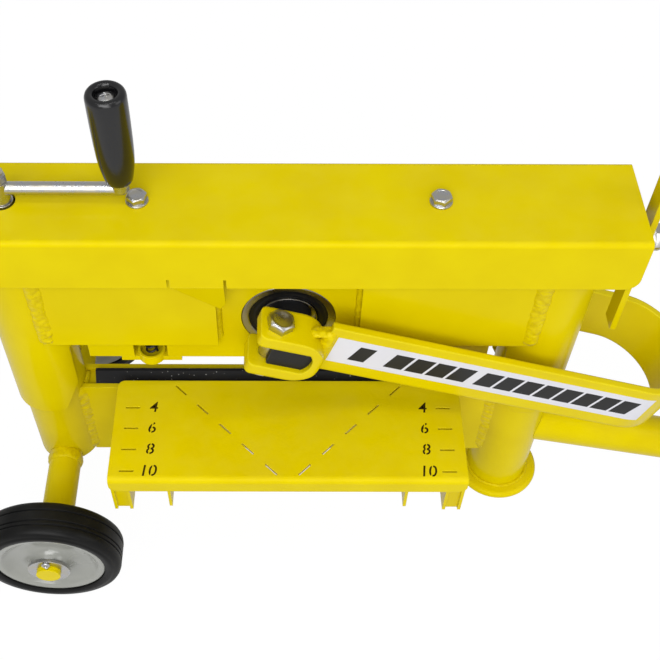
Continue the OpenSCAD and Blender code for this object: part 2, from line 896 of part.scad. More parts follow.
// Outline of all link plates
module link_plates() {
    for (i = [0 : chain_links - 1]) {
        a = chain_point(i);
        b = chain_point((i + 1) % chain_links);
        d = b - a;
        translate(a) circle(r = 5, $fn = 32);
        translate(a) rotate(atan2(d[1], d[0])) translate([0, -3]) square([norm(d), 6]);
    }
}

module lift_chain() {
    color(zinc) translate([0, 0, chain_z]) union() {
        for (z = [-5.6, 2.8]) translate([0, 0, z]) linear_extrude(2.8) link_plates();
        for (i = [0 : chain_links - 1]) translate(concat(chain_point(i), [-3]))
            cylinder(r = roller_r, h = 6, $fn = 32);
    }
}

// Toothed wheel with a hub below it, its seats turned to meet the rollers and flared so that
// a straight run leaves the teeth freely
module sprocket(x, turn) {
    color(zinc) translate([x, 0, 0]) difference() {
        union() {
            translate([0, 0, chain_z - sprocket_t / 2]) linear_extrude(sprocket_t) difference() {
                circle(r = sprocket_r + 2.6);
                for (k = [0 : sprocket_teeth - 1]) rotate(turn + k * tooth_step) {
                    translate([sprocket_r, 0]) circle(r = roller_r + 0.2, $fn = 32);
                    translate([sprocket_r + 2.9, 0]) circle(r = roller_r + 1.35, $fn = 32);
                }
            }
            translate([0, 0, collar_z + running]) cylinder(d = 30, h = chain_z - collar_z);
        }
        translate([0, 0, collar_z - 1]) cylinder(d = spindle_d + 2 * 0.05, h = 40);
    }
}

module left_sprocket() {
    sprocket(-column_x, 90);
}

module right_sprocket() {
    sprocket(column_x, 90 + link_pitches * tooth_step);
}

// Spindle with the retaining collar under its cap
module spindle(top) {
    union() {
        translate([0, 0, spindle_bottom]) cylinder(d = spindle_d, h = top - spindle_bottom);
        translate([0, 0, sleeve_top - 5 - running]) cylinder(d = spindle_d + 10, h = 5);
    }
}

module left_spindle() {
    color(zinc) translate([-column_x, 0, 0]) union() {
        spindle(cover_top + 1);
        translate([0, 0, cover_top]) cylinder(d = neck_d, h = crank_z + 8 - cover_top);
        translate([0, 0, crank_z + 7]) hex(neck_d + 4, 6);
        translate([0, 0, crank_z + 13]) intersection() {
            sphere(d = neck_d + 3);
            translate([0, 0, 2]) cube([neck_d + 3, neck_d + 3, 6], center = true);
        }
    }
}

module right_spindle() {
    color(zinc) translate([column_x, 0, 0]) spindle(cover_under - 2);
}

// Hub, arm and grip pin of the crank
module crank_arm() {
    color(zinc) difference() {
        union() {
            translate([-column_x, 0, cover_top + 1.3])
                cylinder(d = crank_hub_d, h = crank_z + 6.8 - cover_top - 1.3);
            along_x(0, crank_z, -column_x, -column_x + crank_r, crank_d);
            translate([-column_x + crank_r, 0, crank_z]) sphere(d = crank_d);
            translate([-column_x + crank_r, 0, crank_z]) cylinder(d = elbow_d, h = grip_z - crank_z - running);
            translate([-column_x + crank_r, 0, crank_z]) cylinder(d = pin_d, h = crank_grip_l);
        }
        translate([-column_x, 0, cover_top]) cylinder(d = neck_d + 2 * 0.05, h = 30);
    }
}

// Tapered grip that turns on the crank's pin, with a recess for its screw
module crank_grip() {
    r = crank_grip_d / 2;
    h = crank_grip_l;
    color(black) translate([-column_x + crank_r, 0, grip_z]) rotate_extrude() difference() {
        polygon([[0, 0], [r * 0.62, 0], [r * 0.7, h * 0.02], [r * 0.8, h * 0.1], [r * 0.89, h * 0.2],
            [r * 0.95, h * 0.32], [r * 0.985, h * 0.5], [r, h * 0.75], [r, h - 4],
            [r - 0.4, h - 2.2], [r - 1.4, h - 0.8], [r - 3, h], [0, h]]);
        translate([0, -1]) square([pin_d / 2 + running, h + 2]);
        translate([0, h - 6]) square([r - 6, 7]);
    }
}

// Blade carrier

module blade_carrier() {
    h0 = upper_edge + upper_blade_h;
    color(black) difference() {
        union() {
            box([-spacer_x + running, -carrier_half, h0], [spacer_x - running, carrier_half, carrier_top]);
            both_sides() box([lug_x - lug_half, -web_out + 0.6, lug_z],
                [lug_x + lug_half, 0, lug_z + lug_h]);
        }
        box([-window_half, -carrier_half - 1, pad_top - pad_h],
            [window_half, carrier_half + 1, window_top]);
    }
}

module thrust_pad() {
    color(zinc) box([-window_half + fit, -carrier_half, pad_top - pad_h],
        [window_half - fit, carrier_half, pad_top]);
}

module upper_blade() {
    color(black) translate([-upper_blade_l / 2, 0, upper_edge]) mirror([0, 0, 1])
        rotate([90, 0, 90]) linear_extrude(upper_blade_l) blade_section(upper_blade_h);
}

module return_springs() {
    color(zinc) both_sides() translate([lug_x, cup_y, 0])
        coil(return_r, cup_bottom + cup_floor, lug_z, 8, return_wire);
}

// Cam shaft and lever

// Turns its children from a level lever to the lever's slope, about the shaft axis
module on_lever() {
    translate([0, 0, shaft_z]) rotate([0, lever_slope, 0]) children();
}

module cam_shaft() {
    color(black) union() {
        along_y(0, shaft_z, -clevis_in + 1, clevis_in - 1, shaft_d);
        along_y(cam_x, cam_z, -carrier_half, carrier_half, cam_d);
        on_lever() difference() {
            intersection() {
                along_y(0, 0, -shaft_end, shaft_end, shaft_d);
                box([-clevis_bolt_r - 0.5, -shaft_end, -tang_t / 2],
                    [shaft_r + 1, shaft_end, tang_t / 2]);
            }
            front_and_back() translate([-clevis_bolt_r, -clevis_in - clevis_w / 2, -tang_t])
                cylinder(d = clevis_bolt_d + 0.8, h = 2 * tang_t);
        }
    }
}

module inner_races() {
    color(zinc) front_and_back()
        ring_y(0, shaft_z, -web_out, -web_in, race_in_d, shaft_d + 2 * 0.02);
}

module bearing_balls() {
    n = 9;
    color(zinc) front_and_back() for (i = [0 : n - 1])
        translate([0, -(web_in + web_out) / 2, shaft_z]) rotate([0, i * 360 / n, 0])
            translate([(race_in_d + race_out_d) / 4, 0, 0])
                sphere(d = (race_out_d - race_in_d) / 2 - 2 * running);
}

// Bent strap round the shaft's flat end, open at the back, closed at the front
module clevis() {
    difference() {
        intersection() {
            translate([0, -clevis_in, 0]) rotate([90, 0, 0]) linear_extrude(clevis_w)
                difference() {
                    union() {
                        translate([-clevis_tail, -clevis_h])
                            square([clevis_tail + clevis_nose - clevis_h, 2 * clevis_h]);
                        translate([clevis_nose - clevis_h, 0]) circle(r = clevis_h);
                    }
                    translate([-clevis_tail - 1, -strap_in]) square([clevis_tail + 1, 2 * strap_in]);
                    intersection() {
                        circle(r = shaft_r + 0.2);
                        translate([-1, -strap_in]) square([shaft_d, 2 * strap_in]);
                    }
                }
            translate([0, -clevis_in - clevis_w / 2, -clevis_h - 1])
                linear_extrude(2 * clevis_h + 2) translate([(clevis_nose - clevis_tail) / 2, 0])
                    rounded(clevis_nose + clevis_tail, clevis_w, 5);
        }
        translate([-clevis_bolt_r, -clevis_in - clevis_w / 2, -clevis_h - 1])
            cylinder(d = clevis_bolt_d + 2 * fit, h = 2 * clevis_h + 2);
    }
}

module front_clevis() {
    color(yellow) on_lever() clevis();
}

module rear_clevis() {
    color(yellow) on_lever() mirror([0, 1, 0]) clevis();
}

// Bolt through each clevis beside the shaft's flat, with its nut underneath
module clevis_bolts() {
    color(zinc) on_lever() front_and_back()
        translate([-clevis_bolt_r, -clevis_in - clevis_w / 2, 0]) union() {
            translate([0, 0, -clevis_h - clevis_nut_h - clevis_bolt_out])
                cylinder(d = clevis_bolt_d, h = 2 * clevis_h + clevis_nut_h + clevis_bolt_out + 1);
            translate([0, 0, clevis_h]) hex(clevis_bolt_af, 0.625 * clevis_bolt_d);
            translate([0, 0, -clevis_h - clevis_nut_h]) hex(clevis_bolt_af, clevis_nut_h);
        }
}

// Flat bar on edge, bent into a long U round the end of the machine
module yoke() {
    color(yellow) on_lever() difference() {
        translate([0, 0, yoke_lift - yoke_h / 2]) linear_extrude(yoke_h) difference() {
            union() {
                translate([0, -yoke_y]) square([yoke_r, 2 * yoke_y]);
                translate([yoke_r, 0]) circle(r = yoke_y);
            }
            translate([-1, -yoke_y + yoke_t]) square([yoke_r + 1, 2 * (yoke_y - yoke_t)]);
            translate([yoke_r, 0]) circle(r = yoke_y - yoke_t);
            translate([-1, -yoke_y - 1]) square([clevis_nose - 1, 2 * yoke_y + 2]);
        }
        translate([clevis_nose - clevis_h, 0, 0]) rotate([90, 0, 0])
            cylinder(r = clevis_h + fit, h = 3 * yoke_y, center = true);
    }
}

module lever_socket() {
    color(yellow) on_lever() difference() {
        translate([yoke_r, 0, yoke_lift]) rotate([0, 90, 0]) difference() {
            cylinder(d = socket_d, h = yoke_y + socket_l);
            cylinder(d = lever_d + 2 * fit, h = yoke_y + socket_l + 1);
        }
        translate([yoke_r, 0, yoke_lift]) cylinder(r = yoke_y + fit / 2, h = yoke_h + 10, center = true);
        translate([socket_start + socket_l / 2, 0, yoke_lift]) rotate([90, 0, 0])
            cylinder(d = 8 + 2 * fit, h = 2 * socket_d, center = true);
    }
}

module socket_bolt() {
    color(zinc) on_lever() translate([socket_start + socket_l / 2, 0, yoke_lift]) union() {
        rotate([90, 0, 0]) cylinder(d = 8, h = socket_d + 10, center = true);
        translate([0, -socket_d / 2, 0]) rotate([90, 0, 0]) hex(13, 5.3);
        translate([0, socket_d / 2, 0]) rotate([-90, 0, 0]) hex(13, 6.5);
    }
}

module lever_tube() {
    color(yellow) on_lever() difference() {
        translate([socket_start + 6, 0, yoke_lift]) rotate([0, 90, 0]) difference() {
            cylinder(d = lever_d, h = lever_l - socket_start - 10);
            translate([0, 0, -1]) cylinder(d = lever_d - 6, h = lever_l);
        }
        translate([socket_start + socket_l / 2, 0, yoke_lift]) rotate([90, 0, 0])
            cylinder(d = 8 + 2 * fit, h = 2 * socket_d, center = true);
    }
}

// Ribbed rubber grip, closed at its end
module lever_grip() {
    color(black) on_lever() translate([lever_l - grip_l, 0, yoke_lift]) rotate([0, 90, 0])
        rotate_extrude() difference() {
            union() {
                square([lever_d / 2 + 3, grip_l - 4]);
                translate([0, grip_l - 5]) square([lever_d / 2, 5]);
                translate([lever_d / 2 - 1, grip_l - 4]) circle(r = 4, $fn = 32);
            }
            translate([0, -1]) square([lever_d / 2 + fit, grip_l - 4 + 1 + fit]);
            for (i = [1 : 9]) translate([lever_d / 2 + 3.4, i * grip_l / 11]) circle(r = 1.2, $fn = 16);
        }
}

// Transport catch: flat bar that swings over the rear arm of the yoke

module transport_catch() {
    color(yellow) translate([catch_x, 0, catch_z]) rotate([90, 0, 90])
        linear_extrude(catch_t) difference() {
            union() {
                translate([-catch_w / 2, -catch_down]) square([catch_w, catch_down + catch_up - 8]);
                translate([0, catch_up - 8]) circle(d = catch_w);
                circle(d = catch_w + 6);
            }
            circle(d = catch_bolt_d + 2 * fit);
        }
}

left_post();
right_post();
right_foot();
beam_front_plate();
beam_rear_plate();
beam_spacer();
lower_blade();
axle_tube();
axle();
wheel_washers();
split_pins();
spindle_nuts();
support_leg();
leg_foot();
table_arms();
table_springs();
front_rim();
front_tyre();
rear_rim();
rear_tyre();
table();
table_pins();
left_sleeve();
right_sleeve();
sleeve_caps();
front_web();
rear_web();
web_spacers();
front_wings();
rear_wings();
spring_cups();
outer_races();
bearing_seals();
cover_pillars();
cover();
cover_bolts();
catch_bolt();
lift_chain();
blade_carrier();
thrust_pad();
upper_blade();
return_springs();
cam_shaft();
inner_races();
bearing_balls();
front_clevis();
rear_clevis();
clevis_bolts();
yoke();
lever_socket();
socket_bolt();
lever_tube();
lever_grip();
left_spindle();
left_sprocket();
crank_arm();
crank_grip();
right_spindle();
right_sprocket();
transport_catch();
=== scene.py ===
# %% [markdown]
# A masonry block splitter: two columns carry a head with the upper blade, and a
# forked lever presses that blade down on a block that lies on the sprung table.
# The imported model already holds every working part at its true size, so this
# lesson only dresses it: finishes on the metal, and the small forms that a part
# drawing leaves out, such as weld beads, chamfered bolt heads and turned wheels.
# We load the model first.

# %% Load the imported model
import json
import math
import bpy
from mathutils import Euler, Matrix, Vector

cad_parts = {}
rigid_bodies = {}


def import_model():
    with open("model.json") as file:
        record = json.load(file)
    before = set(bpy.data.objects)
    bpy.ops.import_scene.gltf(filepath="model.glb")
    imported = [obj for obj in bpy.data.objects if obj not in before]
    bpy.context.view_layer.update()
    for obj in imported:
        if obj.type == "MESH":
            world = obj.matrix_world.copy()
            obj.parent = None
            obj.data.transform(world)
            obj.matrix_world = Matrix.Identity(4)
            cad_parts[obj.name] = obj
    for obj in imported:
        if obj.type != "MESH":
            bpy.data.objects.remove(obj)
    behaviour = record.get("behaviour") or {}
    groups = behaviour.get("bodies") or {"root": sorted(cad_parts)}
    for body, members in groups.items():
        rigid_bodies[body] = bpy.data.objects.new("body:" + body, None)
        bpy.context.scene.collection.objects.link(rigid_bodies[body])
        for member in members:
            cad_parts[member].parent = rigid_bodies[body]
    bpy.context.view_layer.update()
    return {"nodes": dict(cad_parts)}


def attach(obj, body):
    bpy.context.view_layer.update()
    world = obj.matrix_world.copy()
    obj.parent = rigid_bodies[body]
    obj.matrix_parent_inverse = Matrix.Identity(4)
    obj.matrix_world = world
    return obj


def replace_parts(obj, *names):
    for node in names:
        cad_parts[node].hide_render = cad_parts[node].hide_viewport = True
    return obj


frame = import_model()
NODES = frame["nodes"]
MM = 0.001
print("nodes loaded:", len(NODES))

# %% [markdown]
# The camera stands in front of the machine and looks down on it by 52 degrees.
# Its place and lens were found by fitting known sizes, the scale on the table and
# the bearing, to the picture. The picture was cropped off centre, so the lens is
# shifted a little instead of turning the camera, which keeps upright lines true.

# %% Camera
bpy.ops.object.camera_add(location=(-0.00267, -0.51713, 0.87008),
    rotation=[math.radians(a) for a in (37.6163, -0.1346, 0.0816)])
camera = bpy.context.object
camera.name = "photo_camera"
camera.data.lens = 56.728
camera.data.sensor_width = 36
camera.data.shift_x = 0.06674
camera.data.shift_y = 0.01247
camera.data.clip_start = 0.01
bpy.context.scene.camera = camera
print("lens in mm:", round(camera.data.lens, 1))

# %% [markdown]
# Everything new in this file is modelled the way one would by hand: add a
# primitive, shape it in edit mode, apply its modifiers. Operators act on whatever
# is selected, so one helper clears the selection first and returns the new piece,
# and another picks faces, edges or points by a test on their place.

# %% Helpers for modelling
def deselect():
    """Leave edit mode and select nothing."""
    if bpy.context.object and bpy.context.object.mode != "OBJECT":
        bpy.ops.object.mode_set(mode="OBJECT")
    bpy.ops.object.select_all(action="DESELECT")


def start(add, **how):
    """Add one primitive with nothing else selected."""
    deselect()
    add(**how)
    return bpy.context.object


def pick(piece, kind, test):
    """Enter edit mode with only the faces, edges or points selected that pass the test."""
    deselect()
    piece.select_set(True)
    bpy.context.view_layer.objects.active = piece
    bpy.ops.object.mode_set(mode="EDIT")
    bpy.ops.mesh.select_mode(type=kind)
    bpy.ops.mesh.select_all(action="DESELECT")
    bpy.ops.object.mode_set(mode="OBJECT")
    mesh = piece.data
    if kind == "FACE":
        for face in mesh.polygons:
            face.select = bool(test(face.center, face.normal))
    elif kind == "EDGE":
        for edge in mesh.edges:
            edge.select = bool(test(*(mesh.vertices[v].co for v in edge.vertices)))
    else:
        for point in mesh.vertices:
            point.select = bool(test(point.co))
    bpy.ops.object.mode_set(mode="EDIT")


def apply_all(piece):
    """Apply the place and every modifier, so that the shape is in the mesh."""
    deselect()
    piece.select_set(True)
    bpy.context.view_layer.objects.active = piece
    bpy.ops.object.transform_apply(location=True, rotation=True, scale=True)
    for modifier in list(piece.modifiers):
        bpy.ops.object.modifier_apply(modifier=modifier.name)


def recalculate(piece):
    """Merge doubled points and turn every face outwards."""
    pick(piece, "FACE", lambda centre, normal: True)
    bpy.ops.mesh.remove_doubles(threshold=0.00001)
    bpy.ops.mesh.normals_make_consistent(inside=False)
    bpy.ops.object.mode_set(mode="OBJECT")


def settle(piece, name, body, material, smooth=40):
    """Name, paint and shade a finished piece, and let it ride on its body."""
    apply_all(piece)
    bpy.ops.object.shade_smooth_by_angle(angle=math.radians(smooth))
    piece.name = name
    piece.data.name = name
    piece.data.materials.clear()
    piece.data.materials.append(material)
    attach(piece, body)
    return piece


def join(pieces):
    """Join pieces of one finish into one object."""
    deselect()
    for piece in pieces:
        piece.select_set(True)
    bpy.context.view_layer.objects.active = pieces[0]
    bpy.ops.object.join()
    return bpy.context.object


def copy_of(piece, move=(0, 0, 0), turn=(0, 0, 0)):
    """A copy with its own mesh, turned about the origin and then moved, in mm and degrees."""
    deselect()
    twin = piece.copy()
    twin.data = piece.data.copy()
    bpy.context.collection.objects.link(twin)
    place = Matrix.Translation(Vector(move) * MM)
    spin = Euler([math.radians(a) for a in turn]).to_matrix().to_4x4()
    twin.matrix_world = place @ spin @ piece.matrix_world
    apply_all(twin)
    return twin


def lathe(profile, sides=96, place=(0, 0, 0), turn=(0, 0, 0)):
    """Turn a closed outline of (radius, height) points in mm round the Z axis, ring by ring."""
    r0, z0 = profile[0]
    piece = start(bpy.ops.mesh.primitive_circle_add, vertices=sides, radius=r0 * MM,
        location=(0, 0, z0 * MM))
    bpy.ops.object.transform_apply(location=True)
    bpy.ops.object.mode_set(mode="EDIT")
    bpy.ops.mesh.select_all(action="SELECT")
    for (ra, za), (rb, zb) in zip(profile, profile[1:] + profile[:1]):
        bpy.ops.mesh.extrude_edges_move(
            TRANSFORM_OT_translate={"value": (0, 0, (zb - za) * MM)})
        bpy.ops.transform.resize(value=(rb / ra, rb / ra, 1), center_override=(0, 0, zb * MM))
    bpy.ops.object.mode_set(mode="OBJECT")
    recalculate(piece)
    piece.rotation_euler = [math.radians(a) for a in turn]
    piece.location = Vector(place) * MM
    apply_all(piece)
    return piece


print("helpers ready")

# %% [markdown]
# Finishes are made from nodes, so that they hold at any distance. Three effects
# come back in several finishes and are node groups, built once: a soft edge, which
# rounds the light on sharp CAD edges and finds them for wear and for a painted
# highlight; a grain, which gives height and a mask at a chosen size; and dust,
# which settles on what faces up.

# %% Node helpers and shared effects
def new_group(name, inputs, outputs):
    """An empty node group with named sockets; inputs are (name, default)."""
    group = bpy.data.node_groups.new(name, "ShaderNodeTree")
    for label, value in inputs:
        socket = group.interface.new_socket(name=label, in_out="INPUT", socket_type="NodeSocketFloat")
        socket.default_value = value
    for label, kind in outputs:
        group.interface.new_socket(name=label, in_out="OUTPUT", socket_type=kind)
    return group, group.nodes.new("NodeGroupInput"), group.nodes.new("NodeGroupOutput")


def node(tree, kind, links=(), **settings):
    """Add a node, set its properties and sockets, and link sockets into it."""
    made = tree.nodes.new(kind)
    for key, value in settings.items():
        if hasattr(made, key):
            setattr(made, key, value)
        else:
            made.inputs[key.replace("_", " ")].default_value = value
    for source, target in links:
        tree.links.new(source, made.inputs[target])
    return made


VALUE, NORMAL = "NodeSocketFloat", "NodeSocketVector"

soft_edge, group_in, group_out = new_group("soft edge", [("Radius", 0.0008)],
    [("Normal", NORMAL), ("Edge", VALUE)])
bevel = node(soft_edge, "ShaderNodeBevel", [(group_in.outputs["Radius"], "Radius")], samples=6)
flat = node(soft_edge, "ShaderNodeNewGeometry")
dot = node(soft_edge, "ShaderNodeVectorMath", [(bevel.outputs[0], 0),
    (flat.outputs["True Normal"], 1)], operation="DOT_PRODUCT")
edge = node(soft_edge, "ShaderNodeMapRange", [(dot.outputs["Value"], "Value")])
edge.inputs["From Min"].default_value = 0.97
edge.inputs["From Max"].default_value = 0.75
soft_edge.links.new(bevel.outputs[0], group_out.inputs["Normal"])
soft_edge.links.new(edge.outputs["Result"], group_out.inputs["Edge"])

grain, group_in, group_out = new_group("grain", [("Scale", 600.0), ("Low", 0.4), ("High", 0.6)],
    [("Height", VALUE), ("Mask", VALUE)])
place = node(grain, "ShaderNodeTexCoord")
noise = node(grain, "ShaderNodeTexNoise", [(place.outputs["Object"], "Vector"),
    (group_in.outputs["Scale"], "Scale")], Detail=4.0)
mask = node(grain, "ShaderNodeMapRange", [(noise.outputs["Fac"], "Value"),
    (group_in.outputs["Low"], "From Min"), (group_in.outputs["High"], "From Max")])
grain.links.new(noise.outputs["Fac"], group_out.inputs["Height"])
grain.links.new(mask.outputs["Result"], group_out.inputs["Mask"])

dust, group_in, group_out = new_group("dust", [("Amount", 0.3), ("Scale", 40.0)],
    [("Mask", VALUE)])
facing = node(dust, "ShaderNodeNewGeometry")
upward = node(dust, "ShaderNodeSeparateXYZ", [(facing.outputs["Normal"], 0)])
place = node(dust, "ShaderNodeTexCoord")
noise = node(dust, "ShaderNodeTexNoise", [(place.outputs["Object"], "Vector"),
    (group_in.outputs["Scale"], "Scale")], Detail=8.0, Roughness=0.65)
patches = node(dust, "ShaderNodeMapRange", [(noise.outputs["Fac"], "Value")])
patches.inputs["From Min"].default_value = 0.4
patches.inputs["From Max"].default_value = 0.75
lying = node(dust, "ShaderNodeMath", [(upward.outputs["Z"], 0), (patches.outputs["Result"], 1)],
    operation="MULTIPLY", use_clamp=True)
amount = node(dust, "ShaderNodeMath", [(lying.outputs[0], 0), (group_in.outputs["Amount"], 1)],
    operation="MULTIPLY", use_clamp=True)
dust.links.new(amount.outputs[0], group_out.inputs["Mask"])
print("groups:", [g.name for g in bpy.data.node_groups])

# %% [markdown]
# Each finish uses the same few steps: two close tones mixed by a broad grain, a
# third tone on the edges, for wear and as a painted highlight, or on dust,
# roughness that varies a little, and a fine bump laid over the softened edges.
# One function takes those values, and the shader itself stays in the material.

# %% One recipe for all finishes
def finish(name, tone, tone_b, rough, metal=0.0, edge_tone=None, edge_radius=0.8, patch=25.0,
        peel=700.0, peel_height=0.02, dusty=0.0, dust_tone=(0.6, 0.57, 0.5), coat=0.0,
        coat_rough=0.1, mirror=0.5, mirror_tone=(1, 1, 1), pale_specks=None):
    """Make a material. Sizes are in mm, scales in grains per metre."""
    material = bpy.data.materials.new(name)
    material.use_nodes = True
    tree = material.node_tree
    shader = tree.nodes["Principled BSDF"]
    shader.inputs["Coat Weight"].default_value = coat
    shader.inputs["Coat Roughness"].default_value = coat_rough
    shader.inputs["Specular IOR Level"].default_value = mirror
    shader.inputs["Specular Tint"].default_value = (*mirror_tone, 1)
    shader.inputs["Metallic"].default_value = metal
    soft = node(tree, "ShaderNodeGroup", node_tree=soft_edge)
    soft.inputs["Radius"].default_value = edge_radius * MM
    broad = node(tree, "ShaderNodeGroup", node_tree=grain)
    broad.inputs["Scale"].default_value = patch
    broad.inputs["Low"].default_value = 0.35
    broad.inputs["High"].default_value = 0.65
    colour = node(tree, "ShaderNodeMix", [(broad.outputs["Mask"], 0)], data_type="RGBA")
    colour.inputs[6].default_value = (*tone, 1)
    colour.inputs[7].default_value = (*tone_b, 1)
    out = colour.outputs[2]
    # Edge tone: wear on some finishes, and on others, such as the yellow paint, a painted highlight
    # along the edges.
    if edge_tone:
        edge_wear_and_highlight = node(tree, "ShaderNodeMix", [(soft.outputs["Edge"], 0), (out, 6)], data_type="RGBA")
        edge_wear_and_highlight.inputs[7].default_value = (*edge_tone, 1)
        out = edge_wear_and_highlight.outputs[2]
    if dusty:
        settled = node(tree, "ShaderNodeGroup", node_tree=dust)
        settled.inputs["Amount"].default_value = dusty
        dusted = node(tree, "ShaderNodeMix", [(settled.outputs["Mask"], 0), (out, 6)],
            data_type="RGBA")
        dusted.inputs[7].default_value = (*dust_tone, 1)
        out = dusted.outputs[2]
    fine = node(tree, "ShaderNodeGroup", node_tree=grain)
    fine.inputs["Scale"].default_value = peel
    rough_range = node(tree, "ShaderNodeMapRange", [(broad.outputs["Height"], "Value")])
    rough_range.inputs["To Min"].default_value = rough[0]
    rough_range.inputs["To Max"].default_value = rough[1]
    tree.links.new(rough_range.outputs["Result"], shader.inputs["Roughness"])
    height = fine.outputs["Height"]
    # Small pale specks, scattered at random over the surface.
    if pale_specks:
        place = node(tree, "ShaderNodeTexCoord")
        cells = node(tree, "ShaderNodeTexVoronoi", [(place.outputs["Object"], "Vector")],
            Scale=pale_specks[0])
        speck = node(tree, "ShaderNodeMapRange", [(cells.outputs["Distance"], "Value")])
        speck.inputs["From Min"].default_value = 0.12
        speck.inputs["From Max"].default_value = 0.05
        sparse = node(tree, "ShaderNodeMath", [(speck.outputs["Result"], 0),
            (broad.outputs["Mask"], 1)], operation="MULTIPLY")
        marked = node(tree, "ShaderNodeMix", [(sparse.outputs[0], 0), (out, 6)], data_type="RGBA")
        marked.inputs[7].default_value = (*pale_specks[1], 1)
        out = marked.outputs[2]
    bump = node(tree, "ShaderNodeBump", [(height, "Height"), (soft.outputs["Normal"], "Normal")])
    bump.inputs["Strength"].default_value = 1.0
    bump.inputs["Distance"].default_value = peel_height * MM
    tree.links.new(out, shader.inputs["Base Color"])
    tree.links.new(bump.outputs["Normal"], shader.inputs["Normal"])
    return material


# The third yellow is a painted highlight: a lighter line laid along the edges of the paint.
YELLOW, YELLOW_B, YELLOW_EDGE_HIGHLIGHT = (0.66, 0.53, 0.0), (0.63, 0.495, 0.0), (0.80, 0.68, 0.02)
GLOSS = (1.0, 0.95, 0.3)
yellow_paint = finish("yellow_paint", YELLOW, YELLOW_B, (0.17, 0.26), mirror=0.1,
    mirror_tone=GLOSS, edge_tone=YELLOW_EDGE_HIGHLIGHT, edge_radius=0.7, peel=900.0, peel_height=0.012,
    dusty=0.02)
yellow_forged = finish("yellow_forged", YELLOW, YELLOW_B, (0.16, 0.3), mirror=0.2,
    mirror_tone=GLOSS, edge_tone=YELLOW_EDGE_HIGHLIGHT, edge_radius=2.5, peel=420.0, peel_height=0.12)
weld_paint = finish("weld_paint", YELLOW, (0.57, 0.435, 0.0), (0.2, 0.4), patch=300.0,
    mirror=0.25, mirror_tone=GLOSS, peel=900.0, peel_height=0.22)
zinc = finish("zinc", (0.48, 0.49, 0.52), (0.53, 0.50, 0.42), (0.2, 0.38), metal=1.0,
    edge_tone=(0.8, 0.8, 0.8), edge_radius=0.4, patch=160.0, peel=1500.0, peel_height=0.01)
rim_paint = finish("rim_paint", (0.27, 0.275, 0.25), (0.24, 0.245, 0.22), (0.2, 0.32), coat=0.6,
    edge_tone=(0.5, 0.5, 0.47), dusty=0.1, peel=800.0)
bearing_steel = finish("bearing_steel", (0.25, 0.24, 0.23), (0.33, 0.32, 0.30), (0.2, 0.35),
    metal=1.0, edge_radius=0.4, peel=1800.0, peel_height=0.008)
black_steel = finish("black_steel", (0.006, 0.006, 0.007), (0.012, 0.012, 0.013), (0.45, 0.65),
    edge_tone=(0.05, 0.05, 0.05), edge_radius=0.5, mirror=0.12, peel=900.0, peel_height=0.06,
    pale_specks=(230.0, (0.6, 0.6, 0.58)))
black_forged = finish("black_forged", (0.010, 0.010, 0.011), (0.018, 0.018, 0.019), (0.35, 0.55),
    edge_tone=(0.05, 0.05, 0.05), edge_radius=2.5, mirror=0.2, peel=500.0, peel_height=0.12)
chain_steel = finish("chain_steel", (0.16, 0.15, 0.14), (0.08, 0.07, 0.06), (0.3, 0.5), metal=0.9,
    edge_tone=(0.4, 0.38, 0.36), edge_radius=0.3, patch=300.0)
tyre_rubber = finish("tyre_rubber", (0.004, 0.004, 0.004), (0.007, 0.007, 0.007), (0.3, 0.5),
    mirror=0.13, peel=1600.0, peel_height=0.04, dusty=0.06, dust_tone=(0.1, 0.1, 0.09))
seal_rubber = finish("seal_rubber", (0.005, 0.005, 0.006), (0.008, 0.008, 0.008), (0.3, 0.45),
    mirror=0.15, edge_radius=0.3, peel=1500.0)
grip_rubber = finish("grip_rubber", (0.012, 0.012, 0.012), (0.018, 0.018, 0.018), (0.5, 0.7),
    mirror=0.3, peel=1200.0, peel_height=0.05, dusty=0.12, dust_tone=(0.2, 0.19, 0.17))
grip_plastic = finish("grip_plastic", (0.004, 0.004, 0.0045), (0.006, 0.006, 0.007), (0.14, 0.24),
    mirror=0.5, peel=500.0, peel_height=0.008)
spring_steel = finish("spring_steel", (0.045, 0.045, 0.045), (0.03, 0.03, 0.03), (0.3, 0.45),
    metal=0.8, peel=1500.0, peel_height=0.01)
white_vinyl = finish("white_vinyl", (0.66, 0.66, 0.71), (0.63, 0.63, 0.68), (0.3, 0.42),
    edge_radius=0.2, edge_tone=(0.7, 0.7, 0.68), mirror=0.3)
black_ink = finish("black_ink", (0.012, 0.012, 0.013), (0.02, 0.02, 0.021), (0.3, 0.45),
    edge_radius=0.1, mirror=0.2)
# Painted shade: the dark brown that the cut through the table shows, laid on as a thin inlay.
cut_shadow = finish("cut_shadow", (0.05, 0.032, 0.0), (0.02, 0.013, 0.0), (0.7, 0.9),
    mirror=0.1, patch=120.0)
print("finishes:", len(bpy.data.materials))

# %% [markdown]
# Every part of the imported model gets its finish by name. Their shapes are never
# touched, only their material slots.

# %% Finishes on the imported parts
PAINT = {
    yellow_paint: """left_post right_post right_foot beam_front_plate beam_rear_plate
        beam_spacer axle_tube axle support_leg table_arms table left_sleeve right_sleeve
        sleeve_caps front_web rear_web web_spacers front_wings rear_wings spring_cups
        cover_pillars cover lever_socket lever_tube transport_catch""",
    yellow_forged: "front_clevis rear_clevis yoke",
    zinc: """wheel_washers split_pins spindle_nuts table_pins cover_bolts catch_bolt
        clevis_bolts socket_bolt left_spindle right_spindle crank_arm thrust_pad""",
    spring_steel: "table_springs return_springs",
    bearing_steel: "outer_races inner_races bearing_balls",
    black_steel: "lower_blade upper_blade blade_carrier",
    black_forged: "cam_shaft",
    chain_steel: "lift_chain left_sprocket right_sprocket",
    tyre_rubber: "front_tyre rear_tyre",
    rim_paint: "front_rim rear_rim",
    seal_rubber: "bearing_seals",
    grip_rubber: "leg_foot lever_grip",
    grip_plastic: "crank_grip",
}
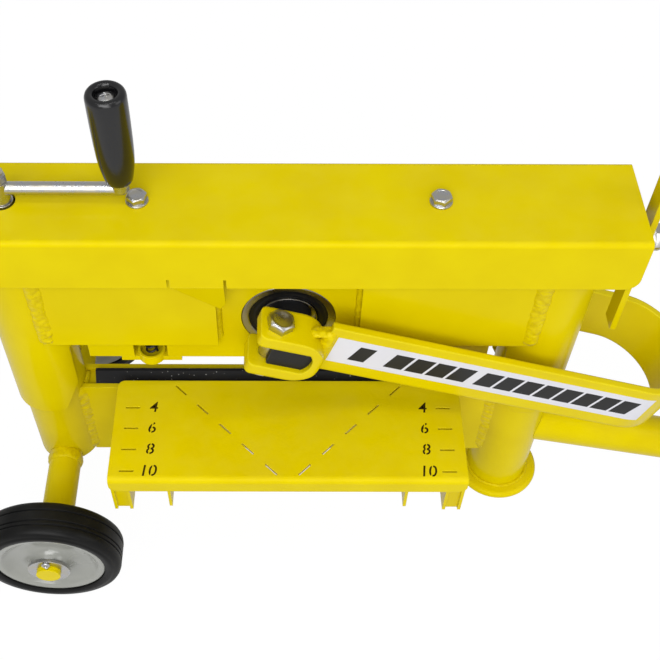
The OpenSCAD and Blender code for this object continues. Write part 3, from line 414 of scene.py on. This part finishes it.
for material, names in PAINT.items():
    for name in names.split():
        part = NODES[name]
        part.data.materials.clear()
        part.data.materials.append(material)
print("painted:", sum(len(names.split()) for names in PAINT.values()), "of", len(NODES))

# %% [markdown]
# The floor is a wide pale plane. Camera and mirror rays see it white, as in a
# photo studio, while it still takes the soft shadow of the machine.

# %% Floor and light
floor = start(bpy.ops.mesh.primitive_plane_add, size=30, location=(0, 0, -0.0005))
floor.name = "floor"
floor_paint = bpy.data.materials.new("floor_paint")
floor_paint.use_nodes = True
tree = floor_paint.node_tree
matt = tree.nodes["Principled BSDF"]
matt.inputs["Base Color"].default_value = (0.55, 0.55, 0.55, 1)
matt.inputs["Roughness"].default_value = 0.9
glow = node(tree, "ShaderNodeEmission")
glow.inputs["Color"].default_value = (1, 1, 1, 1)
glow.inputs["Strength"].default_value = 1.03
rays = node(tree, "ShaderNodeLightPath")
mirrored = node(tree, "ShaderNodeMath", [(rays.outputs["Is Glossy Ray"], 0)], operation="MULTIPLY")
mirrored.inputs[1].default_value = 0.5
seen = node(tree, "ShaderNodeMath", [(rays.outputs["Is Camera Ray"], 0),
    (mirrored.outputs[0], 1)], operation="MAXIMUM")
share = node(tree, "ShaderNodeMath", [(seen.outputs[0], 0)], operation="MULTIPLY")
share.inputs[1].default_value = 0.95
both = node(tree, "ShaderNodeMixShader", [(share.outputs[0], 0), (matt.outputs[0], 1),
    (glow.outputs[0], 2)])
tree.links.new(both.outputs[0], tree.nodes["Material Output"].inputs["Surface"])
floor.data.materials.append(floor_paint)

world = bpy.data.worlds.new("studio")
bpy.context.scene.world = world
world.use_nodes = True
tree = world.node_tree
sky = tree.nodes["Background"]
sky.inputs["Color"].default_value = (1, 1, 1, 1)
rays = node(tree, "ShaderNodeLightPath")
seen = node(tree, "ShaderNodeMath", [(rays.outputs["Is Camera Ray"], 0),
    (rays.outputs["Is Transmission Ray"], 1)], operation="MAXIMUM")
level = node(tree, "ShaderNodeMapRange", [(seen.outputs[0], "Value")])
level.inputs["To Min"].default_value = 0.52
level.inputs["To Max"].default_value = 1.0
tree.links.new(level.outputs["Result"], sky.inputs["Strength"])


def softbox(name, place, aim, wide, high, power):
    """An area lamp at a place that faces a point; wide, high and both places in metres."""
    deselect()
    bpy.ops.object.light_add(type="AREA", location=place)
    lamp = bpy.context.object
    lamp.name = name
    lamp.data.shape = "RECTANGLE"
    lamp.data.size = wide
    lamp.data.size_y = high
    lamp.data.energy = power
    lamp.rotation_euler = (Vector(aim) - Vector(place)).to_track_quat("-Z", "Y").to_euler()


softbox("key", (-0.3, -1.8, 1.9), (0.05, 0, 0.2), 1.8, 1.4, 37)
softbox("front", (0.3, -2.4, 1.0), (0.05, 0, 0.2), 1.6, 0.9, 13)
softbox("strip", (0.1, -0.5, 2.4), (0.05, 0, 0.25), 2.6, 0.09, 9)
softbox("side", (2.0, -0.6, 1.2), (0, 0, 0.2), 1.2, 1.2, 6)
bpy.context.scene.view_settings.view_transform = "Standard"

# %% [markdown]
# The wheels are the first turned pieces. A ring of points is extruded again and
# again, each time moved and scaled to the next station of the outline, which is
# how one turns a form by hand. The rubber has two grooves in its tread and a
# step on the wall; the steel disc dips towards the hub.

# %% Tyres and wheel discs
TYRE = [(46.3, 1.2), (47.5, 0.5), (49.3, 0.1), (51, 0), (52.6, 0.25), (53.2, 0.8), (54.6, 1.0),
    (56.4, 1.5), (57.9, 2.6), (59, 4.6), (59.5, 7.0), (59.5, 9.1), (58.4, 9.5), (58.4, 10.4),
    (59.5, 10.8), (59.5, 13.0), (58.4, 13.4), (58.4, 14.3), (59.5, 14.7), (59.5, 22.2),
    (58.4, 22.6), (58.4, 23.5), (59.5, 23.9), (59.5, 26.0), (59, 28.4), (57.9, 30.4),
    (56.4, 31.5), (54.6, 32.0), (53.2, 32.2), (52.6, 32.75), (51, 33), (49.3, 32.9),
    (47.5, 32.5), (46.3, 31.8)]
SIDE = [(10.4, 0.2), (14.4, 0.2), (15.2, 0.5), (15.8, 1.2), (16.4, 3.2), (17.4, 5.6), (19.4, 7.7),
    (22, 8.9), (25.5, 9.5), (29, 9.5), (32.4, 8.8), (35.4, 7.5), (37.8, 5.8), (39.6, 4.0),
    (40.8, 2.9), (42.2, 2.35), (44.4, 2.2), (45.3, 2.3), (45.9, 2.9)]
DISC = SIDE + [(r, 33 - z) for r, z in reversed(SIDE)]
for side, y in (("front", -137), ("rear", 104)):
    for form, kind, material, slot in ((TYRE, "tyre", tyre_rubber, "tyre"),
            (DISC, "rim", rim_paint, "zinc")):
        wheel = lathe(form, sides=128, place=(-200, y, 59.5), turn=(-90, 0, 0))
        settle(wheel, f"{side}_{kind}_turned", f"{side}_wheel", material)
        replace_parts(wheel, f"{side}_{kind}")
        print(wheel.name, len(wheel.data.polygons), "faces")

# %% [markdown]
# The springs are wound with the Screw modifier, which sweeps a ring of points
# round an axis while it climbs. Each is one closed wire with flat ends.

# %% Return springs and table springs
def coil(place, radius, wire, low, high, turns):
    """A round wire wound about an upright axis, in mm."""
    ring = start(bpy.ops.mesh.primitive_circle_add, vertices=12, radius=wire / 2 * MM,
        location=(radius * MM, 0, 0), rotation=(math.pi / 2, 0, 0))
    bpy.ops.object.transform_apply(location=True, rotation=True)
    climb = (high - low - wire - 0.2) / turns
    screw = ring.modifiers.new("wind", "SCREW")
    screw.iterations = turns
    screw.screw_offset = climb * MM
    screw.steps = screw.render_steps = 28
    screw.use_merge_vertices = False
    apply_all(ring)
    pick(ring, "EDGE", lambda a, b: True)
    bpy.ops.mesh.select_all(action="DESELECT")
    bpy.ops.mesh.select_non_manifold()
    bpy.ops.mesh.edge_face_add()
    bpy.ops.object.mode_set(mode="OBJECT")
    recalculate(ring)
    ring.location = Vector((place[0], place[1], low + wire / 2 + 0.1)) * MM
    apply_all(ring)
    return ring


coils = [coil((s * 109, -16.2), 4.1, 1.8, 202, 250, 8) for s in (-1, 1)]
springs = settle(join(coils), "return_springs_wound", "head", spring_steel, 60)
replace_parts(springs, "return_springs")
coils = [coil((s * 135, y), 3.8, 1.5, 105, 154, 6) for s in (-1, 1) for y in (-35, -85)]
springs = settle(join(coils), "table_springs_wound", "frame", spring_steel, 60)
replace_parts(springs, "table_springs")
print("springs wound")

# %% [markdown]
# Weld beads hold this machine together and catch the light in the picture, so each
# joint gets its own. A straight bead starts as a sphere whose halves are pulled
# apart; the stretched edges are cut into rings, every second ring is swelled for
# the ripples, and two cloud textures push the skin in and out, one for the lumps
# of a hand-laid weld and one for its grit. A round bead starts as a torus.

# %% Weld beads
lumps = bpy.data.textures.new("weld_lumps", "CLOUDS")
lumps.noise_scale = 0.006
grit = bpy.data.textures.new("weld_grit", "CLOUDS")
grit.noise_scale = 0.0019


def place_bead(piece, matrix, rough):
    """Put a bead in its place, round it once and push its skin in and out."""
    round_off = piece.modifiers.new("round", "SUBSURF")
    round_off.levels = round_off.render_levels = 1
    piece.matrix_world = matrix
    apply_all(piece)
    for texture, depth in ((lumps, 1.9 * rough), (grit, 1.1 * rough)):
        push = piece.modifiers.new("push", "DISPLACE")
        push.texture = texture
        push.mid_level = 0.5
        push.strength = depth * MM
    apply_all(piece)
    return piece


def bead(a, b, width, height, up=(0, -1, 0), rough=1.0):
    """A straight bead between two points, sunk in a little; up points out of the joint. In mm."""
    a, b, up = Vector(a), Vector(b), Vector(up).normalized()
    length = (b - a).length
    piece = start(bpy.ops.mesh.primitive_uv_sphere_add, segments=14, ring_count=8,
        radius=width / 2 * MM)
    reach = max(length - width, 1) / 2 * MM
    pick(piece, "VERT", lambda co: co.z > -0.00001)
    bpy.ops.transform.translate(value=(0, 0, reach))
    pick(piece, "VERT", lambda co: co.z < reach - 0.00001)
    bpy.ops.transform.translate(value=(0, 0, -reach))
    pick(piece, "EDGE", lambda p, q: abs(p.z - q.z) > width / 3 * MM)
    bpy.ops.mesh.subdivide(number_cuts=max(2, round(length / 1.3)))
    pick(piece, "VERT", lambda co: math.sin(co.z / MM / 2.6 * 2 * math.pi) > 0)
    bpy.ops.transform.shrink_fatten(value=0.15 * MM)
    bpy.ops.object.mode_set(mode="OBJECT")
    along = (b - a).normalized()
    side = up.cross(along).normalized()
    up = along.cross(side)
    turn = Matrix((side, up, along)).transposed().to_4x4()
    shrink = Matrix.Diagonal((1, height / width * 2, 1, 1))
    middle = (a + b) / 2 - up * 0.3 * height
    return place_bead(piece, Matrix.Translation(middle * MM) @ turn @ shrink, rough)


def ring_bead(place, radius, thick, axis=(0, 0, 1), squash=1.0, rough=0.7):
    """A round bead about an axis, in mm; squash stretches it along the axis."""
    piece = start(bpy.ops.mesh.primitive_torus_add, major_radius=radius * MM,
        minor_radius=thick / 2 * MM, major_segments=int(radius * 4.5), minor_segments=10)
    pick(piece, "VERT",
        lambda co: math.sin(math.atan2(co.y, co.x) * round(radius * 2.2)) > 0)
    bpy.ops.transform.shrink_fatten(value=0.2 * MM)
    bpy.ops.object.mode_set(mode="OBJECT")
    turn = Vector(axis).to_track_quat("Z", "Y").to_matrix().to_4x4()
    return place_bead(piece, Matrix.Translation(Vector(place) * MM) @ turn
        @ Matrix.Diagonal((1, 1, squash, 1)), rough)


SLOPE = math.radians(18)


def on_lever(x, y, z):
    """A point given along, across and above the lever, from the shaft's axis, in mm."""
    return Vector((x * math.cos(SLOPE) + z * math.sin(SLOPE), y,
        253 - x * math.sin(SLOPE) + z * math.cos(SLOPE)))


frame_beads, head_beads, lever_beads = [], [], []
for s in (-1, 1):
    for front in (-1, 1):
        frame_beads.append(bead((s * 177, front * 12, 51), (s * 177, front * 12, 146), 21, 5,
            (-s * 0.35, front, 0), 1.2))
        head_beads.append(bead((s * 185, front * 29.5, 229), (s * 185, front * 29.5, 313), 15, 4,
            (-s * 0.3, front, 0)))
        head_beads.append(bead((s * 53, front * 22.5, 230), (s * 53, front * 22.5, 313), 7, 4,
            (-s, front, 0), 0.7))
    frame_beads.append(bead((s * 172, -8, 142.5), (s * 172, 8, 142.5), 6, 3, (-s, 0, 1), 0.6))
    frame_beads.append(bead((s * 128, -13.5, 105), (s * 128, -13.5, 141), 4, 2, (-s, -1, 0), 0.5))
    frame_beads.append(bead((s * 142, -13.5, 105), (s * 142, -13.5, 141), 4, 2, (s, -1, 0), 0.5))
    head_beads.append(ring_bead((s * 200, 0, 326), 30.5, 3))
    lever_beads.append(bead(on_lever(24.5, s * 51, -19), on_lever(24.5, s * 51, 27), 11, 4,
        (-0.3, s, 0), 0.9))
    lever_beads.append(bead(on_lever(10, s * 47.5, 20), on_lever(29, s * 47.5, 26), 11, 2.2,
        on_lever(-0.5, 0, 1) - on_lever(0, 0, 0), 0.8))
    lever_beads.append(bead(on_lever(10, s * 48, -22), on_lever(27, s * 48, -17), 9, 3,
        on_lever(0.3, 0, -1) - on_lever(0, 0, 0), 0.8))
    frame_beads.append(ring_bead((-200, s * 31, 59.5), 13.6, 3.4, (0, 1, 0), 3.4, 1.0))
frame_beads.append(ring_bead((200, 0, 8.4), 27.8, 3.4, rough=0.5))
head_beads.append(ring_bead((233, 0, 320), 9.5, 3, (1, 0, 0), 1.0, 0.5))
lever_beads.append(ring_bead(on_lever(340.5, 0, 8), 21.5, 4, on_lever(1, 0, 0) - on_lever(0, 0, 0)))
for name, beads, body in (("frame_welds", frame_beads, "frame"), ("head_welds", head_beads, "head"),
        ("lever_welds", lever_beads, "lever")):
    welds = settle(join(beads), name, body, weld_paint, 180)
    print(name, len(welds.data.polygons), "faces")

# %% [markdown]
# Bolt heads are hexagons cut by a cone, which leaves the curved chamfer that real
# ones have. One head is made for each size, and every bolt gets a copy.

# %% Bolt heads and nuts
def hex_head(across, height, dish=0.3):
    """A hexagon head with its chamfer and a shallow dish, standing on Z = 0, in mm."""
    head = start(bpy.ops.mesh.primitive_cylinder_add, vertices=6, radius=across / math.sqrt(3) * MM,
        depth=height * MM, location=(0, 0, height / 2 * MM))
    apply_all(head)
    cone = lathe([(0.01, -1), (across * 0.62, -1), (across * 0.62, height * 0.72),
        (across * 0.44, height), (across * 0.36, height), (across * 0.33, height - dish),
        (0.01, height - dish)], sides=48)
    cut = head.modifiers.new("chamfer", "BOOLEAN")
    cut.operation = "INTERSECT"
    cut.object = cone
    apply_all(head)
    bpy.data.objects.remove(cone)
    edges = head.modifiers.new("edges", "BEVEL")
    edges.width = 0.15 * MM
    edges.segments = 2
    edges.limit_method = "ANGLE"
    apply_all(head)
    return head


def bolt(across, head, radius, shank, washer=None):
    """A bolt with its head standing on Z = 0 or on its washer, and its shank below, in mm."""
    lift = washer[1] if washer else 0
    parts = [copy_of(hex_head(across, head), (0, 0, lift)),
        lathe([(0.01, -shank), (radius - 0.8, -shank), (radius, 0.8 - shank), (radius, 0.5),
            (0.01, 0.5)], sides=32)]
    if washer:
        parts.append(lathe([(radius + 0.1, 0), (washer[0], 0), (washer[0] + 0.1, 0.2),
            (washer[0], lift - 0.2), (washer[0] - 0.2, lift), (radius + 0.1, lift)], sides=64))
    return join(parts)


for s in (-1, 1):
    fixed = copy_of(bolt(13, 5.3, 4, 30, (8, 1.4)), (s * 105.8, 0, 355), (0, 0, 12 * s))
    settle(fixed, f"cover_bolt_{'left' if s < 0 else 'right'}", "head", zinc, 30)
    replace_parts(fixed, "cover_bolts")
clevis_pins = []
for s in (-1, 1):
    parts = [copy_of(bolt(18, 7.5, 6, 56.6), (0, 0, 22), (0, 0, 8)),
        copy_of(hex_head(18, 9.6, -0.4), (0, 0, -22), (180, 0, 20))]
    clevis_pins.append(copy_of(join(parts), on_lever(-14, s * 49, 0), (0, 18, 0)))
pins = settle(join(clevis_pins), "clevis_bolts_turned", "lever", zinc, 30)
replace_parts(pins, "clevis_bolts")
side_bolt = copy_of(bolt(18, 7.5, 6, 27, (12, 2.5)), (259.3, 0, 320), (0, 90, 0))
settle(side_bolt, "catch_bolt_turned", "head", zinc, 30)
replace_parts(side_bolt, "catch_bolt")
for left_over in [o for o in bpy.data.objects if o.name.startswith("Cylinder")]:
    bpy.data.objects.remove(left_over)

# %% [markdown]
# The bearing is the eye-catcher of the picture. Its races have ground chamfers, the
# inner one a stepped face, and the black seal between them is a thin ring with a raised lip.

# %% Bearing races and seals
OUTER = [(30, 0.8), (30.8, 0), (35.2, 0), (36, 0.8), (36, 16.2), (35.2, 17), (30.8, 17), (30, 16.2)]
INNER = [(17.52, 2.6), (20.7, 2.6), (20.9, 0.4), (21.1, 0.1), (21.6, 0.1), (21.8, 0.4), (22, 1.2),
    (22, 15.8), (21.8, 16.6), (21.6, 16.9), (21.1, 16.9), (20.9, 16.6), (20.7, 14.4), (17.52, 14.4)]
SEAL = [(22.3, 0.9), (23.2, 0.2), (24.4, 0), (25.6, 0.35), (26.6, 0.7), (28.2, 0.8), (28.8, 0.4),
    (29.4, 0.4), (29.85, 0.9), (29.85, 2), (22.3, 2)]
races = [lathe(OUTER, 96, (0, y, 253), (-90, 0, 0)) for y in (-22, 5)]
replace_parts(settle(join(races), "outer_races_turned", "head", bearing_steel),
    "outer_races")
races = [lathe(INNER, 96, (0, y, 253), (-90, 0, 0)) for y in (-22, 5)]
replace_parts(settle(join(races), "inner_races_turned", "lever", bearing_steel),
    "inner_races")
seals = [lathe(SEAL, 96, (0, y, 253), (side * 90, 0, 0))
    for y, side in ((-21.2, -1), (-5.8, 1), (5.8, -1), (21.2, 1))]
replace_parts(settle(join(seals), "bearing_seals_turned", "head", seal_rubber),
    "bearing_seals")
print("bearing pieces turned:", len(seals) + 4)

# %% [markdown]
# The crank's grip is turned to the full, slightly barrelled form of the picture.
# In its recess sits a round screw head with a cross, cut in by two crossed bars.

# %% Crank grip and its screw
GRIP = [(4.3, 0), (8.2, 0), (9.1, 0.5), (9.6, 1.5), (10.6, 6), (11.5, 11), (12.3, 17), (12.8, 24),
    (13.15, 34), (13.4, 48), (13.5, 60), (13.5, 70.6), (13.35, 72), (12.9, 73.3), (12.1, 74.3),
    (11, 74.9), (9.8, 75), (8.6, 74.6), (7.8, 73.8), (7.5, 72.8), (7.5, 69), (4.3, 69)]
grip = lathe(GRIP, 96, (-115.5, 0, 375.35))
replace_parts(settle(grip, "crank_grip_turned", "crank_handle", grip_plastic, 50),
    "crank_grip")
screw_head = lathe([(0.01, 0), (5.6, 0), (6, 0.5), (5.7, 1.4), (4.6, 2.3), (2.8, 3), (0.01, 3.3)], 48)
for turn in (20, 110):
    bar = start(bpy.ops.mesh.primitive_cube_add, size=1)
    bar.dimensions = Vector((6.4, 1.3, 3)) * MM
    bar.location.z = 3.2 * MM
    bar.rotation_euler.z = math.radians(turn)
    apply_all(bar)
    cut = screw_head.modifiers.new("cross", "BOOLEAN")
    cut.object = bar
    apply_all(screw_head)
    bpy.data.objects.remove(bar)
screw_head.location = Vector((-115.5, 0, 444.4)) * MM
settle(screw_head, "crank_grip_screw", "crank", zinc, 30)
print("grip:", len(grip.data.polygons), "faces, screw:", len(screw_head.data.polygons))

# %% [markdown]
# The lever's arm carries a white strip with a row of plain slanted blocks. The strip
# starts as a flat plane beside the straight part; its end edge is then spun about
# the centre of the arm's bend, so that the strip goes round the bend, and a thin
# thickness is added last. Each block is a thin cube with its top pushed sideways.

# %% White strip on the lever
strip = start(bpy.ops.mesh.primitive_plane_add, size=1, rotation=(math.pi / 2, 0, 0))
strip.dimensions = (0.258, 0.029, 0)
strip.location = Vector((160, -51.1, 9.5)) * MM
apply_all(strip)
pick(strip, "EDGE", lambda p, q: min(p.x, q.x) > 0.288)
bpy.ops.mesh.spin(steps=8, angle=math.radians(-14), center=(0.289, 0, 0), axis=(0, 0, 1))
bpy.ops.object.mode_set(mode="OBJECT")
print("strip reaches from", [round(f(v.co.x for v in strip.data.vertices), 4) for f in (min, max)])
skin = strip.modifiers.new("skin", "SOLIDIFY")
skin.thickness = 0.2 * MM
skin.offset = 0
apply_all(strip)
strip.matrix_world = Matrix.Translation((0, 0, 0.253)) @ Matrix.Rotation(SLOPE, 4, "Y")
settle(strip, "lever_strip", "lever", white_vinyl, 30)
blocks = []
for x, width in [(46, 13)] + [(75 + 17.3 * i, 15) for i in range(4)] + [
        (150 + 17.3 * i, 15) for i in range(8)]:
    block = start(bpy.ops.mesh.primitive_cube_add, size=1)
    block.dimensions = Vector((width, 0.1, 17)) * MM
    block.location = Vector((x + width / 2, -51.25, 9.5)) * MM
    apply_all(block)
    pick(block, "FACE", lambda centre, normal: normal.z > 0.9)
    bpy.ops.transform.translate(value=(0.005, 0, 0))
    bpy.ops.object.mode_set(mode="OBJECT")
    blocks.append(block)
blocks = join(blocks)
blocks.matrix_world = Matrix.Translation((0, 0, 0.253)) @ Matrix.Rotation(SLOPE, 4, "Y")
settle(blocks, "strip_blocks", "lever", black_ink, 30)
print("strip and blocks:", len(strip.data.polygons), len(blocks.data.polygons), "faces")

# %% [markdown]
# The scale's figures are cut through the sheet of the table with a stencil, so the
# closed loops keep a small bridge. Here they are thin inlays painted in the dark
# shade that shows through the cut, made from the built-in font, turned into a mesh
# and leaned over, and the bridges are cut out with thin bars.

# %% Figures of the scale
BRIDGES = {"4": [], "6": [0.0], "8": [0.0], "10": [3.1]}
figures = []
for s in (-1, 1):
    for i, label in enumerate(("4", "6", "8", "10")):
        deselect()
        bpy.ops.object.text_add(location=(0, 0, 0))
        figure = bpy.context.object
        figure.data.body = label
        figure.data.size = 14 * MM
        figure.data.shear = 0.1
        figure.data.align_x = "CENTER"
        figure.data.align_y = "CENTER"
        figure.data.extrude = 0.03 * MM
        figure.data.offset = 0.12 * MM
        bpy.ops.object.convert(target="MESH")
        figure = bpy.context.object
        recalculate(figure)
        for x in BRIDGES[label]:
            bar = start(bpy.ops.mesh.primitive_cube_add, size=1)
            bar.dimensions = Vector((0.9, 20, 1)) * MM
            bar.location.x = x * MM
            bar.rotation_euler.z = math.radians(-8)
            apply_all(bar)
            cut = figure.modifiers.new("bridge", "BOOLEAN")
            cut.object = bar
            apply_all(figure)
            bpy.data.objects.remove(bar)
        figure.location = Vector((s * 110.5, -40 - 20 * i, 157.0)) * MM
        apply_all(figure)
        figures.append(figure)
settle(join(figures), "scale_figures", "table", cut_shadow, 30)
print("figures:", len(figures))

# %% [markdown]
# Last, the view layer is brought up to date.

# %% Last update
bpy.context.view_layer.update()
